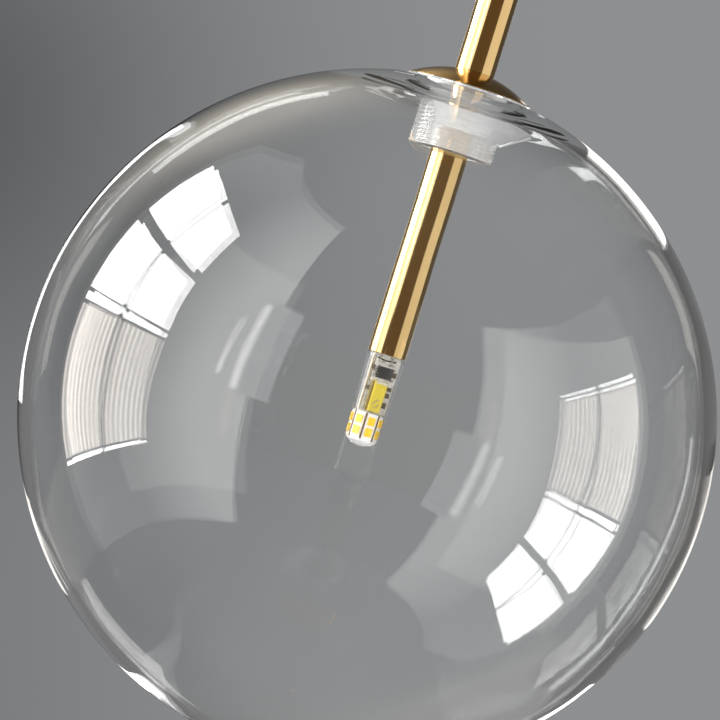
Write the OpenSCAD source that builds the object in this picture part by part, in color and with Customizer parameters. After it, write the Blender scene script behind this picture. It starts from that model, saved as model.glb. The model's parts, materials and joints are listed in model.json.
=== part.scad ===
// Pendant ceiling light: a clear glass globe hung on a brass rod that runs down into the globe
// and carries a small capsule lamp. Z = 0 is the ceiling, +Z is up, the rod is on the Z axis.

/* [Globe] */
// Outer diameter of the glass globe
globe_d = 300; // [240:1:400]
// Wall of the glass at its widest
globe_wall = 4.6; // [3:0.1:7]
// Radius of the flat ground on top of the globe
neck_flat_r = 34.3; // [31:0.1:45]
// Thickness of the glass at the flat
neck_t = 8.4; // [7:0.1:12]

/* [Rod] */
// Length of the tube between the knuckle and the dome
upper_tube_l = 200; // [120:1:900]
// Outer diameter of the upper tube
upper_tube_d = 17.4; // [16:0.1:22]
// Wall of the upper tube
upper_tube_wall = 1.2; // [0.8:0.1:2]
// Outer diameter of the lower tube inside the globe
lower_tube_d = 16.6; // [15:0.1:20]
// Wall of the lower tube
lower_tube_wall = 1.1; // [0.8:0.1:1.8]
// Distance from the flat of the globe down to the lower tube's end
lower_tube_reach = 118; // [80:1:160]
// Diameter of the hollow threaded nipples
nipple_d = 10; // [8:0.5:12]
// Bore of the nipples and of everything the leads run through
lead_bore_d = 7; // [5:0.5:8]

/* [Dome and sleeve] */
// Diameter of the brass dome
dome_d = 54.4; // [46:0.2:66]
// Height of the brass dome
dome_h = 9; // [7:0.1:14]
// Wall of the brass dome
dome_wall = 1.8; // [1:0.1:3]
// Thickness of the clear gasket between the sleeve's flange and the glass
gasket_t = 0.7; // [0.4:0.1:2]
// Thickness of the sleeve's flange
flange_t = 1; // [0.8:0.1:2]
// Outer diameter of the clear sleeve over its thread
sleeve_d = 37.8; // [32:0.1:46]
// Depth of the sleeve below the flat of the globe
sleeve_reach = 26.6; // [22:0.1:36]
// Thread pitch on the sleeve
thread_pitch = 1.25; // [0.8:0.05:2]
// Thread depth on the sleeve
thread_depth = 0.6; // [0.3:0.05:1]
// Gap between the sleeve and the hole in the glass
glass_gap = 0.6; // [0.3:0.1:2]
// Height of the clear retaining ring under the glass
ring_h = 8.6; // [6:0.1:12]
// Radius of the retaining ring where it meets the glass
ring_top_r = 32; // [28:0.1:42]
// Opening of the split retaining ring, in degrees
ring_split = 130; // [90:1:170]

/* [Ceiling cover] */
// Diameter of the ceiling cover
canopy_d = 120; // [110:1:180]
// Depth of the ceiling cover
canopy_h = 28; // [26:1:45]
// Wall of the ceiling cover
canopy_wall = 1.2; // [0.8:0.1:2]
// Rounding of the cover's lower edge
canopy_round = 4; // [2:0.5:8]
// Thickness of the ceiling plate
plate_t = 2; // [1.5:0.1:3]
// Distance between the two ceiling screws
screw_spacing = 70; // [60:1:76]
// Width of the ceiling screw slots
slot_w = 5; // [4:0.1:6]
// End-to-end length of the ceiling screw slots
slot_l = 12; // [8:0.5:14]
// Diameter of the cable hole in the ceiling plate
cable_hole_d = 20; // [14:1:22]

/* [Swivel and knuckle] */
// Diameter of the swivel cup
swivel_d = 27; // [26:0.5:36]
// Height of the swivel cup
swivel_h = 14; // [13:0.5:20]
// Diameter of the swivel shaft
swivel_shaft_d = 13; // [11:0.5:14]
// Radial running clearance of the swivel shaft and of the pivots
running_gap = 0.05; // [0.02:0.01:0.1]
// Side clearance between the knuckle and the fork
side_gap = 0.3; // [0.2:0.05:0.8]
// Thickness of each fork cheek
cheek_t = 3.5; // [2.5:0.1:5]
// Diameter of the two pivot screws
pivot_d = 5; // [4:0.1:6]

/* [Lamp] */
// Diameter of the capsule at its top
lamp_d = 16.4; // [14:0.1:20]
// Diameter of the capsule where its domed tip starts
lamp_tip_d = 14.4; // [13:0.1:18]
// Length of the capsule
lamp_l = 40; // [36:0.5:55]
// Length of the six-sided emitter block
emitter_l = 11; // [9:0.1:16]
// Corner radius of the six-sided emitter block
emitter_r = 5.3; // [4.5:0.1:6]
// Distance between the two contact pins
pin_pitch = 4; // [3:0.1:5]
// Diameter of the contact pins
pin_d = 0.7; // [0.6:0.05:1]
// Length of the contact pins
pin_l = 8; // [6:0.5:9]
// Turn of the capsule's insides about the rod, in degrees
lamp_turn = 24; // [-180:1:180]

/* [Hidden] */
$fn = 96;
eps = 0.01;

// Colours
brass = [0.72, 0.55, 0.28];
steel = [0.72, 0.73, 0.75];
clear = [0.85, 0.9, 0.93, 0.35];
white_plastic = [0.92, 0.92, 0.9];
copper = [0.8, 0.45, 0.25];

// Levels, from the ceiling down
canopy_floor_z = -canopy_h;
canopy_inside_z = canopy_floor_z + canopy_wall;
cup_bottom_z = canopy_floor_z - swivel_h;
fork_gap = 0.5;
crown_t = 4;
crown_bottom_z = cup_bottom_z - fork_gap - crown_t;
knuckle_r = upper_tube_d / 2;
crown_gap = 0.6;
pivot_z = crown_bottom_z - crown_gap - knuckle_r;
neck_l = knuckle_r + 3.3;
tube_top_z = pivot_z - neck_l;
tube_bottom_z = tube_top_z - upper_tube_l;

// The dome is a cap of a sphere, with a flat recess that the tube stands in
dome_sphere_r = (dome_d * dome_d / 4 + dome_h * dome_h) / (2 * dome_h);
recess_rise = dome_height_at(upper_tube_d / 2) - 0.5;
dome_base_z = tube_bottom_z - recess_rise;
flat_z = dome_base_z - flange_t - gasket_t;
globe_r = globe_d / 2;
globe_z = flat_z - sqrt(globe_r * globe_r - neck_flat_r * neck_flat_r);
neck_inner_z = flat_z - neck_t;
lower_end_z = flat_z - lower_tube_reach;

// Radii that fit one another
nipple_r = nipple_d / 2;
lead_bore_r = lead_bore_d / 2;
nipple_bore_r = lead_bore_r - 0.3;
sleeve_r = sleeve_d / 2;
sleeve_root_r = sleeve_r - thread_depth;
sleeve_bottom_z = flat_z - sleeve_reach;
sleeve_web_t = 3;
sleeve_web_z = flat_z - sleeve_web_t;
glass_hole_r = sleeve_r + glass_gap;
upper_bore_r = upper_tube_d / 2 - upper_tube_wall;
lower_bore_r = lower_tube_d / 2 - lower_tube_wall;
plug_l = 10;
nipple_grip = 8;
assembly_gap = 0.02;

// Leads
lead_r = 0.9;
lead_y = 1.2;
lead_split = 0.6;

// Canopy contents
canopy_r = canopy_d / 2;
canopy_inner_r = canopy_r - canopy_wall;
tab_t = 2;
tab_w = 22;
tab_h = 13;
tab_gap = 0.25;
tab_x = sqrt(pow(canopy_inner_r - tab_gap, 2) - tab_w * tab_w / 4);
tab_hole_z = -9;
plate_r = tab_x - 8;
side_screw_d = 4;
terminal_l = 30;
terminal_w = 15;
terminal_h = 13;
terminal_y = 28;
terminal_pitch = 9.5;
driver_l = 44;
driver_w = 22;
driver_h = 16;
driver_y = -29.5;
driver_wall = 1.2;
driver_foot_l = 6;
driver_foot_t = 2;
plate_screw_d = 3;

function dome_height_at(r) = sqrt(pow(dome_sphere_r, 2) - r * r) - dome_sphere_r + dome_h;

module ring(r_out, r_in, h) {
    difference() {
        cylinder(r = r_out, h = h);
        translate([0, 0, -1]) cylinder(r = r_in, h = h + 2);
    }
}

function unit(v) = v / norm(v);
function bend(p, t) =
    pow(1 - t, 3) * p[0] + 3 * pow(1 - t, 2) * t * p[1] + 3 * (1 - t) * t * t * p[2] + pow(t, 3) * p[3];
function bend_points(p, steps) = [for (i = [0 : steps]) bend(p, i / steps)];

// A lead along a list of points; side is a direction that the lead never runs in
module lead(points, r, side) {
    sides = 8;
    last = len(points) - 1;
    rings = [
        for (i = [0 : last])
            let (
                along = unit(points[min(i + 1, last)] - points[max(i - 1, 0)]),
                u = unit(cross(side, along)),
                v = cross(along, u)
            )
            for (k = [0 : sides - 1]) points[i] + r * (cos(k * 360 / sides) * u + sin(k * 360 / sides) * v)
    ];
    walls = [
        for (i = [0 : last - 1], k = [0 : sides - 1])
            let (a = i * sides + k, b = i * sides + (k + 1) % sides)
            [a, a + sides, b + sides, b]
    ];
    start = [for (k = [0 : sides - 1]) k];
    finish = [for (k = [sides - 1 : -1 : 0]) last * sides + k];
    polyhedron(points = rings, faces = concat(walls, [start, finish]), convexity = 6);
}

// ---- Ceiling side ----

module ceiling_slot(x) {
    for (s = [-1, 1])
        translate([x + s * (slot_l - slot_w) / 2, 0, -plate_t - 1])
            cylinder(d = slot_w, h = plate_t + 2);
    translate([x - (slot_l - slot_w) / 2, -slot_w / 2, -plate_t - 1])
        cube([slot_l - slot_w, slot_w, plate_t + 2]);
}

// Where the plate's three small screws and the earth screw go
plate_screw_points = [
    [0, terminal_y],
    [-(driver_l + driver_foot_l) / 2, driver_y],
    [(driver_l + driver_foot_l) / 2, driver_y]
];
earth_point = [26, 15];
earth_hole_d = 4;
lug_t = 0.8;
lug_barrel_r = 1.6;

module ceiling_plate() {
    color(steel)
    difference() {
        union() {
            translate([0, 0, -plate_t]) cylinder(r = plate_r, h = plate_t);
            translate([-tab_x, -tab_w / 2, -plate_t]) cube([2 * tab_x, tab_w, plate_t]);
            for (s = [-1, 1])
                translate([s * (tab_x - tab_t / 2) - tab_t / 2, -tab_w / 2, -plate_t - tab_h])
                    cube([tab_t, tab_w, tab_h + eps]);
        }
        translate([0, 0, -plate_t - 1]) cylinder(d = cable_hole_d, h = plate_t + 2);
        for (s = [-1, 1]) ceiling_slot(s * screw_spacing / 2);
        for (p = plate_screw_points)
            translate([p[0], p[1], -plate_t - 1]) cylinder(d = plate_screw_d, h = plate_t + 2);
        translate([earth_point[0], earth_point[1], -plate_t - 1])
            cylinder(d = earth_hole_d, h = plate_t + 2);
        for (s = [-1, 1])
            translate([s * tab_x, 0, tab_hole_z])
                rotate([0, 90, 0]) cylinder(d = side_screw_d, h = 4 * tab_t, center = true);
    }
}

module canopy_profile(r, h, round_r) {
    difference() {
        union() {
            translate([0, -h]) square([r - round_r, h]);
            translate([0, -h + round_r]) square([r, h - round_r]);
            translate([r - round_r, -h + round_r]) circle(r = round_r);
        }
        translate([-r, -h - 1]) square([r, h + 2]);
    }
}

module canopy() {
    color(brass)
    difference() {
        rotate_extrude() canopy_profile(canopy_r, canopy_h, canopy_round);
        translate([0, 0, 1])
            rotate_extrude()
                canopy_profile(canopy_inner_r, canopy_h - canopy_wall + 1, canopy_round - canopy_wall);
        translate([0, 0, canopy_floor_z - 1]) cylinder(r = nipple_r + 0.2, h = canopy_wall + 2);
        for (s = [-1, 1])
            translate([s * canopy_r, 0, tab_hole_z])
                rotate([0, 90, 0]) cylinder(d = side_screw_d + 0.4, h = 8, center = true);
    }
}

module canopy_screws() {
    head_t = 3;
    head_d = 7.5;
    reach = canopy_r + 0.1 - (tab_x - tab_t) + 1.5;
    color(brass)
    for (s = [-1, 1])
        translate([s * (canopy_r + 0.1), 0, tab_hole_z])
            rotate([0, s * 90, 0]) {
                difference() {
                    cylinder(d = head_d, h = head_t);
                    for (a = [0 : 30 : 330])
                        rotate([0, 0, a])
                            translate([head_d / 2 + 0.15, 0, 0.6]) cylinder(r = 0.5, h = head_t, $fn = 16);
                }
                translate([0, 0, -reach]) cylinder(d = side_screw_d - 0.1, h = reach);
            }
}

terminal_bottom_z = -plate_t - terminal_h;
terminal_hole_d = 5;
terminal_axis_z = -plate_t - 5.5;

module terminal_block() {
    color(white_plastic)
    difference() {
        translate([-terminal_l / 2, terminal_y - terminal_w / 2, terminal_bottom_z])
            cube([terminal_l, terminal_w, terminal_h]);
        for (i = [-1 : 1]) {
            translate([i * terminal_pitch, terminal_y, terminal_axis_z])
                rotate([90, 0, 0]) cylinder(d = terminal_hole_d, h = terminal_w + 2, center = true);
            for (s = [-1, 1])
                translate([i * terminal_pitch, terminal_y + s * 4.5, terminal_bottom_z - 1])
                    cylinder(d = 3.6, h = 8);
        }
        for (i = [-0.5, 0.5])
            translate([i * terminal_pitch - 0.8, terminal_y - terminal_w, terminal_bottom_z - 1])
                cube([1.6, 2 * terminal_w, 4]);
        translate([0, terminal_y, terminal_bottom_z - 1]) cylinder(d = 3.4, h = terminal_h + 2);
    }
}

module terminal_inserts() {
    color(brass)
    for (i = [-1 : 1])
        translate([i * terminal_pitch, terminal_y, terminal_axis_z])
            difference() {
                rotate([90, 0, 0]) cylinder(d = terminal_hole_d, h = terminal_w - 2, center = true);
                rotate([90, 0, 0]) cylinder(d = 2.6, h = terminal_w, center = true);
                for (s = [-1, 1]) translate([0, s * 4.5, -3]) cylinder(d = 2.6, h = 3);
                if (i == 0) cylinder(d = 3.4, h = 8, center = true);
            }
}

module terminal_screws() {
    color(steel)
    for (i = [-1 : 1], s = [-1, 1])
        translate([i * terminal_pitch, terminal_y + s * 4.5, terminal_axis_z - 6.6])
            difference() {
                union() {
                    cylinder(d = 3.4, h = 2);
                    cylinder(d = 2.6, h = 5.4);
                }
                translate([-2, -0.3, -1]) cube([4, 0.6, 1.8]);
            }
}

module plate_screws() {
    // The middle one holds the terminal block, the outer two the driver
    color(steel)
    for (i = [0 : 2]) {
        p = plate_screw_points[i];
        under = i == 0 ? terminal_bottom_z : -plate_t - driver_foot_t;
        translate([p[0], p[1], under])
            difference() {
                union() {
                    translate([0, 0, -1.6]) cylinder(d = 5.4, h = 1.6);
                    cylinder(d = plate_screw_d, h = -under - 0.2);
                }
                translate([-3, -0.4, -2.6]) cube([6, 0.8, 1.8]);
            }
    }
}

driver_bottom_z = -plate_t - driver_h;

module driver_case() {
    color([0.9, 0.9, 0.88])
    difference() {
        union() {
            translate([-driver_l / 2, driver_y - driver_w / 2, driver_bottom_z + driver_wall])
                cube([driver_l, driver_w, driver_h - driver_wall]);
            translate([-driver_l / 2 - driver_foot_l, driver_y - 5, -plate_t - driver_foot_t])
                cube([driver_l + 2 * driver_foot_l, 10, driver_foot_t]);
        }
        translate([-driver_l / 2 + driver_wall, driver_y - driver_w / 2 + driver_wall, driver_bottom_z])
            cube([driver_l - 2 * driver_wall, driver_w - 2 * driver_wall, driver_h - driver_wall]);
        for (s = [-1, 1])
            translate([s * (driver_l + driver_foot_l) / 2, driver_y, -plate_t - driver_foot_t - 1])
                cylinder(d = plate_screw_d + 0.2, h = driver_foot_t + 2);
        for (x = driver_lead_x)
            translate([x, driver_y + driver_w / 2, driver_lead_z])
                rotate([90, 0, 0]) cylinder(r = lead_r + 0.15, h = 3 * driver_wall, center = true);
    }
}

driver_lead_z = -plate_t - 8;
driver_lead_x = [-14, -9, 2, 7];

module driver_lid() {
    lip = driver_wall + 0.1;
    color([0.82, 0.82, 0.8])
    translate([-driver_l / 2, driver_y - driver_w / 2, driver_bottom_z])
        difference() {
            union() {
                cube([driver_l, driver_w, driver_wall]);
                translate([lip, lip, 0])
                    cube([driver_l - 2 * lip, driver_w - 2 * lip, driver_wall + 1.5]);
            }
            translate([2 * driver_wall, 2 * driver_wall, driver_wall])
                cube([driver_l - 4 * driver_wall, driver_w - 4 * driver_wall, 3]);
        }
}

module earth_screw() {
    color(brass)
    translate([earth_point[0], earth_point[1], -plate_t - lug_t])
        difference() {
            union() {
                translate([0, 0, -2.6]) cylinder(d = 7.5, h = 2.6);
                cylinder(d = earth_hole_d, h = plate_t + lug_t - 0.2);
            }
            translate([-4, -0.5, -3.6]) cube([8, 1, 2]);
        }
}

// A crimped eye between the earth screw's head and the plate
module earth_lug() {
    color(copper)
    translate([earth_point[0], earth_point[1], -plate_t])
        difference() {
            union() {
                translate([0, 0, -lug_t]) cylinder(r = 4.4, h = lug_t);
                translate([-8, -lug_barrel_r, -lug_t]) cube([5, 2 * lug_barrel_r, lug_t]);
                translate([-10, 0, -lug_barrel_r]) rotate([0, 90, 0]) cylinder(r = lug_barrel_r, h = 4.4);
            }
            translate([0, 0, -2]) cylinder(d = earth_hole_d, h = 4);
        }
}

lead_steps = 16;
terminal_face_y = terminal_y - terminal_w / 2 + 0.9;
driver_face_y = driver_y + driver_w / 2 - driver_wall;

module earth_lead() {
    start = [terminal_pitch, terminal_face_y, terminal_axis_z];
    finish = [earth_point[0] - 10, earth_point[1], -plate_t - lug_barrel_r];
    color([0.55, 0.7, 0.2])
    lead(bend_points([start, start - [0, 7, 0], finish - [7, 0, 0], finish], lead_steps), lead_r, [0, 0, 1]);
}

module primary_leads() {
    color([0.45, 0.3, 0.2])
    for (i = [0, 1]) {
        start = [(i - 1) * terminal_pitch, terminal_face_y, terminal_axis_z];
        finish = [driver_lead_x[i], driver_face_y, driver_lead_z];
        route = [start, start - [3 * i, 16, 0], finish + [0, 12, 0], finish];
        lead(bend_points(route, lead_steps), lead_r, [0, 0, 1]);
    }
}

// The two lamp leads run from the driver over the nipple and down to the swivel
nipple_top_z = canopy_inside_z + 7;

module supply_leads() {
    color([0.85, 0.85, 0.82])
    for (i = [0, 1]) {
        start = [driver_lead_x[2 + i], driver_face_y, driver_lead_z];
        finish = [0, (2 * i - 1) * lead_y, nipple_top_z + 0.5];
        route = [start, start + [0, 9 + 2 * i, 1 + 2 * i], finish + [0, 0, 7 + 2 * i], finish];
        drop = [[finish[0], finish[1], swivel_split_z + 0.3]];
        lead(concat(bend_points(route, lead_steps), drop), lead_r, [1, 0, 0]);
    }
}

module canopy_nipple() {
    color(steel)
    translate([0, 0, cup_thread_end_z])
        ring(nipple_r, nipple_bore_r, nipple_top_z - cup_thread_end_z);
}

washer_t = 1;
nut_h = 3.5;

module canopy_washer() {
    color(steel)
    translate([0, 0, canopy_inside_z]) ring(10, nipple_r + 0.2, washer_t);
}

module canopy_nut() {
    color(steel)
    translate([0, 0, canopy_inside_z + washer_t])
        difference() {
            cylinder(d = 16.2, h = nut_h, $fn = 6);
            translate([0, 0, -1]) cylinder(r = nipple_r + assembly_gap, h = nut_h + 2);
        }
}

// ---- Swivel: a flanged hollow shaft turns in a cup under the cover ----

swivel_r = swivel_d / 2;
cup_roof_t = 4;
cup_thread_end_z = canopy_floor_z - cup_roof_t;
cavity_r = swivel_r - 2.5;
ring_t = 3;
cavity_bottom_z = cup_bottom_z + ring_t;
washer_low_z = cavity_bottom_z;
thrust_t = 0.8;
flange_bottom_z = washer_low_z + thrust_t + 0.05;
swivel_flange_t = 3;
swivel_split_z = flange_bottom_z + swivel_flange_t + 0.3;
shaft_r = swivel_shaft_d / 2;
flange_r = cavity_r - 2;
lug_r = cavity_r - 0.4;
lug_w = 4;
stop_d = 3;
stop_tip_r = flange_r + 0.3;
stop_z = flange_bottom_z + swivel_flange_t / 2;

module swivel_cup() {
    color(brass)
    difference() {
        translate([0, 0, cup_bottom_z]) cylinder(r = swivel_r, h = swivel_h);
        translate([0, 0, cup_thread_end_z - 1]) cylinder(r = nipple_r + assembly_gap, h = cup_roof_t + 2);
        translate([0, 0, cavity_bottom_z - eps])
            cylinder(r = cavity_r, h = cup_thread_end_z - cavity_bottom_z + eps);
        translate([0, 0, cup_bottom_z - 1]) cylinder(r = cavity_r + 0.8, h = ring_t + 1);
        translate([-swivel_r, 0, stop_z])
            rotate([0, 90, 0]) cylinder(d = stop_d + 2 * assembly_gap, h = 10, center = true);
    }
}

module swivel_ring() {
    color(brass)
    translate([0, 0, cup_bottom_z])
        difference() {
            ring(cavity_r + 0.8 - assembly_gap, shaft_r + running_gap, ring_t);
            for (a = [90, 270])
                rotate([0, 0, a])
                    translate([(shaft_r + cavity_r) / 2 + 0.4, 0, -1]) cylinder(r = 0.8, h = 2.2);
        }
}

module thrust_washer() {
    color([0.93, 0.93, 0.9])
    translate([0, 0, washer_low_z]) ring(cavity_r - 0.3, shaft_r + 0.25, thrust_t);
}

module stop_screw() {
    color(steel)
    translate([-swivel_r, 0, stop_z])
        rotate([0, 90, 0])
            difference() {
                cylinder(d = stop_d, h = swivel_r - stop_tip_r);
                translate([0, 0, -1]) cylinder(d = 1.5, h = 2.2, $fn = 6);
            }
}

module swivel_fork() {
    cheek_in = knuckle_r + side_gap;
    cheek_w = 14;
    color(brass)
    difference() {
        union() {
            translate([0, 0, crown_bottom_z]) cylinder(r = swivel_r, h = crown_t);
            translate([0, 0, crown_bottom_z + 1])
                cylinder(r = shaft_r, h = flange_bottom_z - crown_bottom_z);
            translate([0, 0, flange_bottom_z]) cylinder(r = flange_r, h = swivel_flange_t);
            intersection() {
                translate([0, -lug_w / 2, flange_bottom_z]) cube([lug_r, lug_w, swivel_flange_t]);
                translate([0, 0, flange_bottom_z]) cylinder(r = lug_r, h = swivel_flange_t);
            }
            intersection() {
                union() {
                    for (s = [-1, 1]) {
                        translate([-cheek_w / 2, s > 0 ? cheek_in : -cheek_in - cheek_t, pivot_z])
                            cube([cheek_w, cheek_t, crown_bottom_z - pivot_z + 1]);
                        translate([0, s > 0 ? cheek_in + cheek_t : -cheek_in, pivot_z])
                            rotate([90, 0, 0]) cylinder(d = cheek_w, h = cheek_t);
                    }
                }
                translate([0, 0, pivot_z - cheek_w]) cylinder(r = swivel_r, h = 60);
            }
        }
        translate([0, 0, crown_bottom_z - 1]) cylinder(r = lead_bore_r, h = 60);
        translate([0, 0, pivot_z]) rotate([90, 0, 0]) cylinder(d = pivot_d, h = 60, center = true);
    }
}

pivot_inner_y = 4.6;

module pivot_screws() {
    cheek_out = knuckle_r + side_gap + cheek_t;
    color(brass)
    for (s = [0, 180])
        rotate([0, 0, s])
            translate([0, 0, pivot_z])
                rotate([-90, 0, 0])
                    difference() {
                        union() {
                            translate([0, 0, pivot_inner_y])
                                cylinder(d = pivot_d, h = cheek_out - pivot_inner_y);
                            translate([0, 0, cheek_out]) cylinder(d = 8, h = 1.8);
                        }
                        translate([-5, -0.5, cheek_out + 0.9]) cube([10, 1, 2]);
                    }
}

module fork_leads() {
    color([0.85, 0.85, 0.82])
    for (s = [-1, 1])
        translate([0, s * lead_y, pivot_z + lead_split])
            cylinder(r = lead_r, h = swivel_split_z - pivot_z - lead_split);
}

// ---- Rod ----

spigot_l = 12;
channel_w = 8.6;
channel_floor = 4;

module knuckle() {
    color(brass)
    difference() {
        union() {
            intersection() {
                translate([0, 0, pivot_z])
                    rotate([90, 0, 0]) cylinder(r = knuckle_r, h = 2 * knuckle_r, center = true);
                translate([0, 0, pivot_z - knuckle_r]) cylinder(r = knuckle_r, h = 2 * knuckle_r);
            }
            translate([0, 0, tube_top_z]) cylinder(r = knuckle_r, h = neck_l);
            translate([0, 0, tube_top_z - spigot_l])
                cylinder(r = upper_bore_r - assembly_gap, h = spigot_l + 1);
        }
        translate([-2 * knuckle_r, -channel_w / 2, pivot_z - channel_floor])
            cube([4 * knuckle_r, channel_w, 4 * knuckle_r]);
        translate([0, 0, tube_top_z - spigot_l - 1]) cylinder(r = lead_bore_r, h = 60);
        translate([0, 0, pivot_z])
            rotate([90, 0, 0]) cylinder(r = pivot_d / 2 + running_gap, h = 60, center = true);
    }
}

module upper_tube() {
    color(brass)
    translate([0, 0, tube_bottom_z]) ring(upper_tube_d / 2, upper_bore_r, upper_tube_l);
}

module upper_tube_plug() {
    color(brass)
    translate([0, 0, tube_bottom_z])
        ring(upper_bore_r - assembly_gap, nipple_r + assembly_gap, plug_l);
}

module joint_nipple() {
    color(steel)
    translate([0, 0, sleeve_web_z - nipple_grip])
        ring(nipple_r, nipple_bore_r, tube_bottom_z + nipple_grip - sleeve_web_z + nipple_grip);
}

module dome() {
    base_lip = 1.2;
    boss_r = 10;
    color(brass)
    translate([0, 0, dome_base_z])
        difference() {
            intersection() {
                translate([0, 0, dome_h - dome_sphere_r]) sphere(r = dome_sphere_r, $fn = 180);
                cylinder(r = dome_d, h = dome_h + 1);
            }
            difference() {
                intersection() {
                    translate([0, 0, dome_h - dome_sphere_r])
                        sphere(r = dome_sphere_r - dome_wall, $fn = 180);
                    translate([0, 0, -1])
                        cylinder(r = dome_d / 2 - dome_wall - base_lip - 3, h = dome_h + 2);
                }
                translate([0, 0, -2]) cylinder(r = boss_r, h = dome_h + 4);
            }
            translate([0, 0, recess_rise]) cylinder(r = upper_tube_d / 2 + assembly_gap, h = dome_h);
            translate([0, 0, -1]) cylinder(r = nipple_r + 0.2, h = dome_h + 2);
        }
}

module dome_gasket() {
    color(clear)
    translate([0, 0, flat_z]) ring(dome_d / 2 + 1.2, glass_hole_r, gasket_t);
}

// A clear turned sleeve: flange on the glass, thread through its hole, bore for the lower tube
module threaded_sleeve() {
    tooth_count = floor((sleeve_reach - 3) / thread_pitch);
    color(clear)
    difference() {
        union() {
            translate([0, 0, flat_z + gasket_t]) cylinder(d = dome_d, h = flange_t);
            rotate_extrude()
                polygon(concat(
                    [[0, sleeve_bottom_z], [sleeve_root_r, sleeve_bottom_z]],
                    [for (i = [0 : tooth_count - 1], part = [0 : 3])
                        [
                            part == 1 || part == 2 ? sleeve_r : sleeve_root_r,
                            sleeve_bottom_z + 0.4 + (i + [0, 0.38, 0.5, 0.88][part]) * thread_pitch
                        ]],
                    [[sleeve_root_r, flat_z + gasket_t + eps], [0, flat_z + gasket_t + eps]]
                ));
        }
        translate([0, 0, sleeve_bottom_z - 1])
            cylinder(r = lower_tube_d / 2 + 0.1, h = sleeve_web_z - sleeve_bottom_z + 1);
        translate([0, 0, sleeve_bottom_z]) cylinder(r = nipple_r + 0.2, h = 60);
    }
}

module ring_gasket() {
    color(clear)
    translate([0, 0, neck_inner_z - gasket_t]) ring(ring_top_r - 0.5, glass_hole_r, gasket_t);
}

module retaining_ring() {
    half_open = ring_split / 2;
    far = 4 * ring_top_r;
    color(clear)
    translate([0, 0, neck_inner_z - gasket_t - ring_h])
        difference() {
            cylinder(r1 = sleeve_r + 1.6, r2 = ring_top_r, h = ring_h);
            translate([0, 0, -1]) cylinder(r = sleeve_r + assembly_gap, h = ring_h + 2);
            translate([0, 0, -1])
                linear_extrude(height = ring_h + 2)
                    polygon([
                        [0, 0],
                        far * [-cos(half_open), sin(half_open)],
                        [-far, far * sin(half_open)],
                        [-far, -far * sin(half_open)],
                        far * [-cos(half_open), -sin(half_open)]
                    ]);
        }
}

// Inner surface: a sphere, then a tighter arc that thickens the glass up to the flat
module globe_cavity() {
    inner_r = globe_r - globe_wall;
    blend_angle = 34;
    flat_in = [ring_top_r + 0.2, neck_inner_z - globe_z];
    away = [sin(blend_angle), cos(blend_angle)];
    tangent = inner_r * away;
    chord = flat_in - tangent;
    arc_r = -(chord * chord) / (2 * (chord * away));
    intersection() {
        circle(r = inner_r);
        translate([-globe_r, -globe_r]) square([globe_d, globe_r + tangent[1] + eps]);
    }
    intersection() {
        translate(tangent - arc_r * away) circle(r = arc_r, $fn = 360);
        translate([0, tangent[1]]) square([globe_r, flat_in[1] - tangent[1]]);
    }
}

module globe() {
    color(clear)
    translate([0, 0, globe_z])
        difference() {
            rotate_extrude($fn = 240)
                intersection() {
                    difference() {
                        circle(r = globe_r);
                        globe_cavity();
                    }
                    translate([0, -globe_r]) square([globe_r, globe_r + flat_z - globe_z]);
                }
            cylinder(r = glass_hole_r, h = globe_r);
        }
}

module lower_tube() {
    color(brass)
    translate([0, 0, lower_end_z])
        ring(lower_tube_d / 2, lower_bore_r, sleeve_web_z - lower_end_z);
}

module lower_tube_plug() {
    color(brass)
    translate([0, 0, sleeve_web_z - plug_l])
        ring(lower_bore_r - assembly_gap, nipple_r + assembly_gap, plug_l);
}

holder_l = 14;
holder_recess = 0.4;
holder_r = lower_bore_r - 0.1;
holder_bottom_z = lower_end_z + holder_recess;
contact_l = 9;
contact_r = 1.25;
clip_t = 1;

module lampholder() {
    color([0.93, 0.92, 0.88])
    translate([0, 0, holder_bottom_z])
        difference() {
            cylinder(r = holder_r, h = holder_l);
            for (s = [-1, 1]) {
                translate([0, s * pin_pitch / 2, -1]) cylinder(r = pin_d / 2 + 0.3, h = 4, $fn = 24);
                translate([0, s * pin_pitch / 2, 1.5]) cylinder(r = contact_r, h = holder_l, $fn = 32);
            }
        }
}

module lampholder_contacts() {
    color(copper)
    for (s = [-1, 1])
        translate([0, s * pin_pitch / 2, holder_bottom_z + 1.6])
            difference() {
                cylinder(r = contact_r - assembly_gap, h = contact_l, $fn = 32);
                translate([0, 0, -1]) cylinder(r = pin_d / 2 + running_gap, h = contact_l - 1, $fn = 24);
            }
}

module lampholder_clip() {
    color(steel)
    translate([0, 0, holder_bottom_z + holder_l])
        difference() {
            ring(lower_bore_r - assembly_gap, lower_bore_r - 1.6, clip_t);
            translate([0, -1.5, -1]) cube([2 * lower_bore_r, 3, clip_t + 2]);
        }
}

module rod_leads() {
    bottom = holder_bottom_z + 1.6 + contact_l;
    spread_l = 12;
    color([0.85, 0.85, 0.82])
    for (s = [-1, 1]) {
        top = [0, s * lead_y, pivot_z - lead_split];
        spread = [0, s * lead_y, bottom + spread_l];
        finish = [0, s * pin_pitch / 2, bottom];
        lead(concat(
            [top],
            bend_points([spread, spread - [0, 0, 4], finish + [0, 0, 4], finish], 8)
        ), lead_r, [1, 0, 0]);
    }
}

// ---- Lamp: a clear capsule moulded round its insides ----

lamp_top_z = lower_end_z - 0.15;
tip_h = 3.5;
emitter_top = lamp_l - tip_h - emitter_l;
led_w = 2.8;
led_h = 3.5;
led_t = 0.7;
led_pitch = 4.8;
board_w = 9.6;
board_t = 1;
board_l = emitter_top - 0.4;

module at_lamp(depth) {
    translate([0, 0, lamp_top_z - depth]) rotate([0, 0, lamp_turn]) children();
}

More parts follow.
